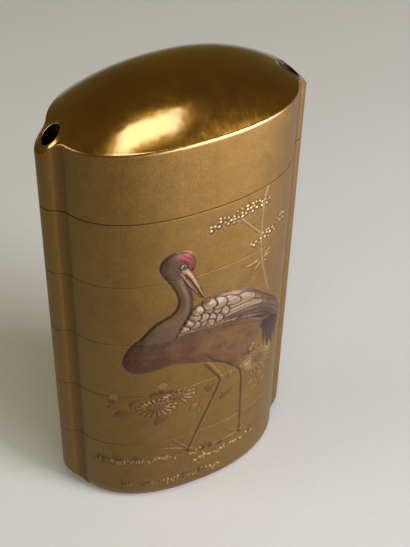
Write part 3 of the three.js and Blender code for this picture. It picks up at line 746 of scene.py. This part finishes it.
class Shell:
    """Rings from a pole below to a pole above; each ring keeps the marks of its points."""

    def __init__(self, pole):
        self.low_pole = (0.0, 0.0, pole)
        self.rings = []
        self.marks = []

    def add(self, ring, inside=0.0, polish=0.0, ink=0.0):
        mark = np.zeros((COUNT, INSIDE + 1))
        mark[:, PAINT] = GROOVE_REDDISH
        mark[:, COVER] = GROOVE_REDDISH_COVER * HOLLOW * (1 - max(inside, polish))
        mark[:, INK_AND_SHADE] = ink
        mark[:, POLISH] = polish
        mark[:, INSIDE] = inside
        self.rings.append(ring)
        self.marks.append(mark)

    def add_inner(self, plan, heights, ink=0.0):
        for z in heights:
            self.add(lens_ring(*plan, z), inside=1.0, ink=ink)

    def add_collar(self, high, rim, floor):
        """The collar above a wall, darkened with painted shade where it shows in the seam, and the room down to its
        floor.
        """
        self.add_inner(COLLAR, [high, rim + 0.4], ink=1.0)
        self.add_inner(COLLAR, [rim + 1.0, rim + COLLAR_H])
        self.add_inner(ROOM, [rim + COLLAR_H, rim, floor])

    def add_wall(self, heights, ring_at, board):
        """Rows of the outside, pushed out by the board's relief on the front face."""
        for row, z in enumerate(heights):
            ring = ring_at(z)
            above, below = heights[-1] - z < SEAM_BAND, z - heights[0] < SEAM_BAND
            # Painted shade darkens the grooves, and the seam bands are a dark line with painted shade.
            self.add(ring, ink=np.maximum(GROOVE_SHADE * HOLLOW, SEAM_LINE_AND_SHADE * (above + below * (1 - SEAM_SHADE_FADE))))
            ring[FRONT, :2] += NORMALS[FRONT] * board.relief[row][:, None]
            mark, cover = self.marks[-1], board.cover[row]
            mark[FRONT, PAINT] = board.paint[row]
            mark[FRONT, COVER] = cover
            mark[FRONT, INK_AND_SHADE] = np.maximum(mark[FRONT, INK_AND_SHADE] * (1 - PAINT_HIDES * cover), board.ink[row])
            mark[FRONT, GILT_AND_HIGHLIGHT] = board.gilt_and_highlight[row]

    def mesh(self, name, pole):
        """The closed mesh, with its marks as attributes that the material reads."""
        points = np.vstack([[self.low_pole]] + self.rings + [[(0.0, 0.0, pole)]]) * MM
        marks = np.vstack(self.marks)
        marks = np.vstack([marks[:1], marks, marks[-1:]])
        here = np.arange(COUNT)
        beside = (here + 1) % COUNT
        last = 1 + (len(self.rings) - 1) * COUNT
        faces = []
        for r in range(1, last, COUNT):
            faces += np.column_stack([r + here, r + beside, r + COUNT + beside, r + COUNT + here]).tolist()
        faces += np.column_stack([np.zeros(COUNT, int), 1 + beside, 1 + here]).tolist()
        faces += np.column_stack([last + here, last + beside, np.full(COUNT, last + COUNT)]).tolist()
        data = bpy.data.meshes.new(name)
        data.from_pydata(points, [], faces)
        data.shade_smooth()
        for attribute, kind, field, columns in (
            ("paint", "FLOAT_COLOR", "color", slice(0, INK_AND_SHADE)),
            ("marks", "FLOAT_VECTOR", "vector", slice(INK_AND_SHADE, INSIDE)),
            ("inside", "FLOAT", "value", slice(INSIDE, None)),
        ):
            data.attributes.new(attribute, kind, "POINT").data.foreach_set(field, marks[:, columns].ravel())
        return data


def wall_heights(low, high, step):
    """Rows between two heights, closer together at both ends, where the edges are softened."""
    ends, last = SOFT_ROWS[:-1], SOFT_ROWS[-1]
    inner = np.linspace(low + last, high - last, max(2, round((high - low) / step)))
    return np.concatenate([low + ends, inner, (high - ends)[::-1]])


def softened(z, *edges):
    """How far the softening of these edges pulls the outline in at height z, along its normals."""
    near = min(abs(z - edge) for edge in edges) / SOFT_ROWS[-1]
    return SEAM_SOFT * (1 - sqrt(max(0.0, 1 - (1 - min(near, 1)) ** 2))) * FLAT_NORMALS


def tier_mesh(name):
    """A middle case: recess below, decorated wall, collar above and the room inside."""
    seam = SEAMS[name]
    low = seam + SEAM_HALF[name]
    above = PIECES[PIECES.index(name) - 1]
    rim = SEAMS[above]
    high = rim - SEAM_HALF[above]
    top = seam + COLLAR_H + CAD_GAP
    heights = wall_heights(low, high, ROW_STEP)
    shell = Shell(top)
    shell.add_inner(RECESS, [top, seam + 1.0, low])
    shell.add_wall(heights, lambda z: outer_ring(z) - softened(z, low, high), decorated(heights))
    shell.add_collar(high, rim, top + FLOOR)
    return shell.mesh(name, top + FLOOR)


def base_ring(z):
    """The base's outline at height z: the lens draws in towards the foot, and the runners end in slopes."""
    turn = max(0.0, 1 - z / EDGE_H)
    scale = 1 - (EDGE_INSET / LENS_B) * (1 - sqrt(1 - turn * turn))
    reach = lens_radius(OUTLINE, LENS_A, LENS_B) * scale
    end = HALF_WIDTH - (BOTTOM_END_RISE - z) / END_SLOPE
    clipped = np.minimum(1.0, end / np.maximum(np.abs(OUTLINE[:, 0]), 1e-6))
    runner = np.maximum(reach, clipped) if end > RUNNER_X - RUNNER_R else reach
    return np.column_stack([OUTLINE * np.where(ON_LENS, np.minimum(scale, clipped), runner)[:, None],
                            np.full(COUNT, z)])


def base_mesh(name):
    """The base case: the rounded foot, decorated wall, collar above and the room inside."""
    rim = SEAMS["case_4"]
    high = rim - SEAM_HALF["case_4"]
    rounding = EDGE_H * (1 - np.sin(np.linspace(pi / 2, 0, FOOT_ROWS)))
    walls = wall_heights(EDGE_H, high, ROW_STEP)[len(SOFT_ROWS) - 1:]
    heights = np.concatenate([rounding[:-1], walls])
    shell = Shell(0.0)
    shell.add_wall(heights, lambda z: base_ring(z) - softened(z, high), decorated(heights))
    shell.add_collar(high, rim, BASE_FLOOR)
    return shell.mesh(name, BASE_FLOOR)


def dome_height(x, y):
    """The low dome, drooping towards its ends."""
    ratio = (np.abs(x / LENS_A) ** LENS_P + np.abs(y / LENS_B) ** LENS_P) ** (1 / LENS_P)
    return RIM_Z + DOME * (1 - ratio**DOME_POWER) - RIM_DROOP * np.minimum(1, (x / LENS_A) ** 2)


def top_height(x, y):
    """The lid's top: the dome, cut by the runners' sloped ends, with a soft lip and a dip round each bore."""
    dome = dome_height(x, y)
    slope = RIM_Z - TOP_END_DROP + (HALF_WIDTH - np.abs(x)) * END_SLOPE
    near = np.maximum(TOP_BLEND - np.abs(dome - slope), 0) / TOP_BLEND
    z = np.minimum(dome, slope) - near * near * TOP_BLEND / 4
    from_bore = np.hypot(np.abs(x) - BORE_X, y)
    for height, distance, half_width in LIPS:
        z += height * np.exp(-(((from_bore - BORE_R - distance) / half_width) ** 2))
    return z


def lid_mesh(name):
    """The lid, from the inside of its dome through the recess and the seam, up its wall and over its top."""
    seam = SEAMS["lid"]
    low = seam + SEAM_HALF["lid"]
    top = seam + COLLAR_H + CAD_GAP
    shell = Shell(TOP_Z - DOME_WALL)
    for part in np.linspace(0.08, 1.0, CEILING_ROWS):
        ring = lens_ring(ROOM[0] * part, ROOM[1] * part, 0.0)
        ring[:, 2] = dome_height(ring[:, 0], ring[:, 1]) - DOME_WALL
        shell.add(ring, inside=1.0)
    shell.add_inner(ROOM, [top])
    shell.add_inner(RECESS, [top, seam + 1.0, low])
    for z in wall_heights(low, low + LID_EVEN, LID_STEP)[:-len(SOFT_ROWS)]:
        # Painted shade darkens the grooves, and the lid's seam band is a dark line with painted shade.
        ink = np.maximum(GROOVE_SHADE * HOLLOW, LID_SEAM_LINE_AND_SHADE * (z < low + SEAM_BAND))
        shell.add(outer_ring(z) - softened(z, low), ink=ink)

    # From here each column of points climbs to its own height on the rim.
    edge = OUTLINE * RIM_SOFT
    edge_z = top_height(edge[:, 0], edge[:, 1])
    corner = edge_z - RIM_DROP
    base = shell.rings[-1][0, 2]
    for part in np.linspace(0, 1, LID_ROWS)[1:]:
        ring = outer_ring(0.0)
        ring[:, 2] = base + (corner - RIM_DROP - base) * part
        shell.add(ring, ink=GROOVE_SHADE * HOLLOW)
    start, middle = np.column_stack([OUTLINE, corner - RIM_DROP]), np.column_stack([OUTLINE, corner + RIM_LIFT])
    end = np.column_stack([edge, edge_z])
    for t in np.linspace(0, 1, RIM_ROWS)[1:]:
        shell.add((1 - t) ** 2 * start + 2 * t * (1 - t) * middle + t * t * end, polish=float(t))
    fine = np.arange(RIM_SOFT - TOP_STEP, FINE_TO, -TOP_STEP)
    for part in np.concatenate([fine, np.linspace(FINE_TO - 0.01, 0.015, COARSE_ROWS)]):
        ring = np.column_stack([OUTLINE * part, np.zeros(COUNT)])
        ring[:, 2] = top_height(ring[:, 0], ring[:, 1])
        shell.add(ring, polish=1.0)
    return shell.mesh(name, TOP_Z)


def bore_cutter():
    """Two long rods where the cord bores run."""
    sides = 48
    points, faces = [], []
    for middle in (-BORE_X, BORE_X):
        for z in (-2.0, TOP_Z + 2.0):
            points += [(x * MM, y * MM, z * MM) for x, y in on_circle(middle, 0.0, BORE_R, full_turn(sides))]
    for first in (0, 2 * sides):
        low, high = range(first, first + sides), range(first + sides, first + 2 * sides)
        faces += [(low[k], low[k + 1], high[k + 1], high[k]) for k in range(-sides, 0)]
        faces += [low[::-1], high]
    data = bpy.data.meshes.new("bore_cutter")
    data.from_pydata(points, [], faces)
    return data


def add_object(name, data):
    made = bpy.data.objects.new(name, data)
    bpy.context.scene.collection.objects.link(made)
    return made


def place(data, node, slot, material):
    """Cuts the bores through a piece and puts it in its CAD node's place."""
    cutter = add_object("bore_cutter", bore_cutter())
    piece = add_object(node + "_lacquer", data)
    cut = piece.modifiers.new("bores", "BOOLEAN")
    cut.operation = "DIFFERENCE"
    cut.solver = "MANIFOLD"
    cut.object = cutter
    bpy.context.view_layer.update()
    shaped = piece.evaluated_get(bpy.context.evaluated_depsgraph_get())
    finished = bpy.data.meshes.new_from_object(shaped)
    piece.modifiers.clear()
    piece.data = finished
    bpy.data.objects.remove(cutter)
    finished.set_sharp_from_angle(angle=radians(50))
    finished.materials.clear()
    finished.materials.append(material)
    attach(piece, "root")
    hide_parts(node)


# --- Materials ---


class Graph:
    """A material's node tree, written as nested calls that return sockets."""

    def __init__(self, name):
        self.material = bpy.data.materials.new(name)
        self.material.use_nodes = True
        self.tree = self.material.node_tree
        self.tree.nodes.clear()

    def node(self, kind, inputs=None, **settings):
        made = self.tree.nodes.new(kind)
        for key, value in settings.items():
            setattr(made, key, value)
        for key, value in (inputs or {}).items():
            if isinstance(value, bpy.types.NodeSocket):
                self.tree.links.new(value, made.inputs[key])
            else:
                made.inputs[key].default_value = value
        return made

    def math(self, operation, a, b=0.0):
        return self.node("ShaderNodeMath", {0: a, 1: b}, operation=operation).outputs[0]

    def times(self, a, b):
        return self.math("MULTIPLY", a, b)

    def rest(self, a):
        return self.math("SUBTRACT", 1.0, a)

    def range(self, value, low, high, to_low=0.0, to_high=1.0):
        inputs = {"Value": value, "From Min": low, "From Max": high, "To Min": to_low, "To Max": to_high}
        return self.node("ShaderNodeMapRange", inputs).outputs[0]

    def mix(self, part, a, b):
        """A mix of two colours, each a socket or three numbers."""
        a, b = ((*colour, 1.0) if isinstance(colour, tuple) else colour for colour in (a, b))
        return self.node("ShaderNodeMix", {0: part, 6: a, 7: b}, data_type="RGBA").outputs[2]

    def blend(self, part, a, b):
        return self.node("ShaderNodeMix", {0: part, 2: a, 3: b}).outputs[0]

    def noise(self, position, per_metre, detail=2.0, roughness=0.5):
        inputs = {"Vector": position, "Scale": per_metre, "Detail": detail, "Roughness": roughness}
        return self.node("ShaderNodeTexNoise", inputs).outputs[0]

    def stretched(self, position, scale, rotation=(0.0, 0.0, 0.0)):
        inputs = {"Vector": position, "Scale": scale, "Rotation": rotation}
        return self.node("ShaderNodeMapping", inputs).outputs[0]

    def split(self, vector):
        return self.node("ShaderNodeSeparateXYZ", {0: vector}).outputs

    def bump(self, strength, distance, height, **below):
        inputs = {"Strength": strength, "Distance": distance, "Height": height, **below}
        return self.node("ShaderNodeBump", inputs).outputs[0]

    def attribute(self, name):
        return self.node("ShaderNodeAttribute", attribute_name=name).outputs

    def finish(self, **inputs):
        """The material, with these inputs on its shader; an underscore stands for a space."""
        settings = {key.replace("_", " "): value for key, value in inputs.items()}
        output = self.node("ShaderNodeOutputMaterial")
        self.tree.links.new(self.node("ShaderNodeBsdfPrincipled", settings).outputs[0], output.inputs["Surface"])
        return self.material


def lacquer(name, polished=False):
    """Gold lacquer: a satin speckled ground, painted and inked where the marks say, with painted shade and painted
    highlights among the marks, polished on the lid's top.
    """
    g = Graph(name)
    position = g.node("ShaderNodeTexCoord").outputs["Object"]
    ink, gilt_and_highlight, polish = g.split(g.attribute("marks")["Vector"])
    paint = g.attribute("paint")
    inside = g.attribute("inside")["Fac"]

    cloud = g.range(g.noise(position, 90, 4.0, 0.6), 0.3, 0.7)
    patch = g.range(g.noise(position, 420, 3.0, 0.6), 0.3, 0.7)
    grain = g.noise(position, 5200, 2.0, 0.7)
    flakes = g.node("ShaderNodeTexVoronoi", {"Vector": position, "Scale": 7500}).outputs["Color"]
    flake = g.node("ShaderNodeSeparateColor", {0: flakes}).outputs[0]

    ground = g.mix(cloud, (0.135, 0.072, 0.010), (0.168, 0.094, 0.016))
    ground = g.mix(g.times(patch, 0.5), ground, (0.205, 0.118, 0.022))
    ground = g.mix(g.range(grain, 0.35, 0.65, 0.52, 0.0), ground, (0.085, 0.042, 0.004))
    ground = g.mix(g.range(flake, 0.8, 0.97, 0.0, 0.25), ground, (0.27, 0.17, 0.05))

    top = g.mix(cloud, (0.21, 0.082, 0.005), (0.34, 0.175, 0.014))
    top = g.mix(g.range(grain, 0.3, 0.6, 0.2, 0.0), top, (0.2, 0.08, 0.005))
    colour = g.mix(polish, ground, top)

    brushed = g.mix(g.range(grain, 0.3, 0.7, 0.4, 0.0), paint["Color"], (0.02, 0.011, 0.005))
    brushed = g.mix(g.range(flake, 0.84, 0.97, 0.0, 0.12), brushed, (0.30, 0.19, 0.08))
    colour = g.mix(paint["Alpha"], colour, brushed)

    nashiji = g.mix(g.range(flake, 0.55, 0.8), (0.10, 0.035, 0.008), (0.55, 0.33, 0.10))
    colour = g.mix(inside, colour, nashiji)
    # Darkens with ink, and with painted shade in the grooves, at the seams, on the collar and under the buds.
    colour = g.mix(g.times(ink, 0.95), colour, (0.018, 0.009, 0.003))
    # The paler gold on raised details: partly gilt, partly a painted highlight.
    colour = g.mix(g.times(gilt_and_highlight, 0.7), colour, (0.31, 0.215, 0.09))

    # The bores' dark lining is painted near black and matte, partly as painted shade.
    x, y, _ = g.split(position)
    across = g.math("SUBTRACT", g.math("ABSOLUTE", x), BORE_X * MM)
    from_bore = g.math("SQRT", g.math("ADD", g.times(across, across), g.times(y, y)))
    bore = g.math("LESS_THAN", from_bore, (BORE_R + 0.02) * MM)
    colour = g.mix(bore, colour, (0.004, 0.003, 0.002))

    metallic = g.rest(g.math("MAXIMUM", g.times(paint["Alpha"], 0.75), g.times(ink, 0.8)))
    metallic = g.times(metallic, g.rest(g.times(bore, 0.9)))

    scratch = g.noise(g.stretched(position, (3000, 180, 900), (0.0, 0.0, 0.6)), 1.0)
    satin = g.math("ADD", g.range(grain, 0.3, 0.7, 0.40, 0.48), g.times(patch, 0.04))
    glossy = g.math("ADD", g.range(patch, 0.0, 1.0, 0.16, 0.25), g.range(scratch, 0.56, 0.7, 0.0, 0.05))
    roughness = g.blend(polish, satin, glossy)
    roughness = g.blend(inside, roughness, g.range(flake, 0.5, 0.9, 0.22, 0.34))

    relief = g.math("ADD", g.times(grain, 0.85), g.times(flake, 0.15))
    bump = g.bump(g.range(polish, 0.0, 1.0, 0.32, 0.05), 0.00008, relief)
    coat_roughness = 0.45
    if polished:
        bump = g.bump(g.times(polish, 0.26), 0.0005, g.noise(position, 120, 3.0, 0.55), Normal=bump)
        coat_roughness = g.range(polish, 0.0, 1.0, coat_roughness, 0.12)
    matte = g.math("MAXIMUM", g.times(g.math("MAXIMUM", paint["Alpha"], ink), 0.85), bore)
    coat = g.times(g.range(polish, 0.0, 1.0, 0.12, 1.0), g.rest(matte))
    return g.finish(Base_Color=colour, Metallic=metallic, Roughness=roughness, Normal=bump, Specular_IOR_Level=0.12,
                    Coat_Weight=coat, Coat_Normal=bump, Coat_IOR=1.7, Coat_Roughness=coat_roughness)


def cloth(name):
    """Pale grey backdrop cloth with a fine plain weave."""
    g = Graph(name)
    position = g.node("ShaderNodeTexCoord").outputs["Object"]
    soft = g.range(g.noise(position, 9, 4.0, 0.6), 0.3, 0.7)
    fine = g.noise(position, 900, 3.0, 0.6)
    warp, weft = (g.noise(g.stretched(position, scale), 1.0, 1.0) for scale in ((2600, 260, 1), (260, 2600, 1)))
    weave = g.times(g.math("ADD", warp, weft), 0.5)
    colour = g.mix(g.times(soft, 0.35), (0.60, 0.60, 0.585), (0.565, 0.565, 0.55))
    colour = g.mix(g.range(weave, 0.35, 0.65, 0.22, 0.0), colour, (0.50, 0.50, 0.485))
    colour = g.mix(g.range(fine, 0.3, 0.7, 0.12, 0.0), colour, (0.48, 0.48, 0.465))
    return g.finish(Base_Color=colour, Roughness=0.9, Specular_IOR_Level=0.15, Normal=g.bump(0.15, 0.0001, weave))


# --- The pieces in place ---

gold_lacquer = lacquer("gold_lacquer")
place(lid_mesh("lid"), "lid", "polished_lid", lacquer("polished_lid", polished=True))
for case in PIECES[1:-1]:
    place(tier_mesh(case), case, "gold_lacquer", gold_lacquer)
place(base_mesh("case_5"), "case_5", "gold_lacquer", gold_lacquer)

# --- Floor, light and camera ---

BACKDROP_R = 0.5
BACKDROP_SIDES = 96
round_floor = [(x, y, 0.0) for x, y in on_circle(0.0, 0.0, BACKDROP_R, full_turn(BACKDROP_SIDES))]
floor_mesh = bpy.data.meshes.new("floor")
floor_mesh.from_pydata(round_floor, [], [range(BACKDROP_SIDES)])
floor_mesh.materials.append(cloth("backdrop_cloth"))
floor = add_object("floor", floor_mesh)

LOOK_AT = Vector((0.0, 0.0, 0.05))


def area_light(name, azimuth, elevation, distance, width, height, power, colour):
    """A soft box that faces the object, placed by azimuth (0 is -Y, growing towards +X), elevation and metres."""
    a, e = radians(azimuth), radians(elevation)
    way = Vector((sin(a) * cos(e), -cos(a) * cos(e), sin(e)))
    data = bpy.data.lights.new(name, "AREA")
    data.shape = "RECTANGLE"
    data.size = width
    data.size_y = height
    data.energy = power
    data.color = colour
    lamp = add_object(name, data)
    lamp.location = LOOK_AT + way * distance
    lamp.rotation_euler = way.to_track_quat("Z", "Y").to_euler()


area_light("overhead_strip", -9, 66, 0.5, 0.286, 0.157, 0.85, (0.92, 1.0, 0.93))
area_light("low_strip", 33, -2.9, 0.5, 0.45, 0.05, 6.7, (0.98, 0.95, 1.25))
area_light("window", 36, 27, 0.5, 0.22, 0.1, 2.3, (0.96, 0.95, 1.06))
area_light("left_fill", -100, 30, 0.4, 0.2, 0.14, 0.42, (0.97, 1.0, 0.82))

# The room gives a dim warm light, and a plain pale backdrop to the camera.
world = bpy.data.worlds.new("studio")
world.use_nodes = True
studio = world.node_tree
ray = studio.nodes.new("ShaderNodeLightPath")
choice = studio.nodes.new("ShaderNodeMix")
choice.data_type = "RGBA"
choice.inputs[6].default_value = (0.45, 0.33, 0.09, 1.0)
choice.inputs[7].default_value = (1.5, 1.5, 1.45, 1.0)
studio.links.new(ray.outputs["Is Camera Ray"], choice.inputs[0])
studio.links.new(choice.outputs[2], studio.nodes["Background"].inputs["Color"])
studio.nodes["Background"].inputs["Strength"].default_value = 0.4
bpy.context.scene.world = world
bpy.context.scene.view_settings.view_transform = "Standard"

# The camera, where the photograph's perspective puts it.
camera_data = bpy.data.cameras.new("camera")
camera_data.lens = 81.14
camera_data.sensor_width = 36.0
camera_data.clip_start = 0.01
camera = add_object("camera", camera_data)
axes = Matrix(((0.9009, -0.4335, 0.0218), (0.2894, 0.6374, 0.7141), (-0.3234, -0.6370, 0.6997))).transposed()
camera.matrix_world = Matrix.Translation(Vector((-65.39, -140.86, 200.29)) * MM) @ axes.to_4x4()
bpy.context.scene.camera = camera
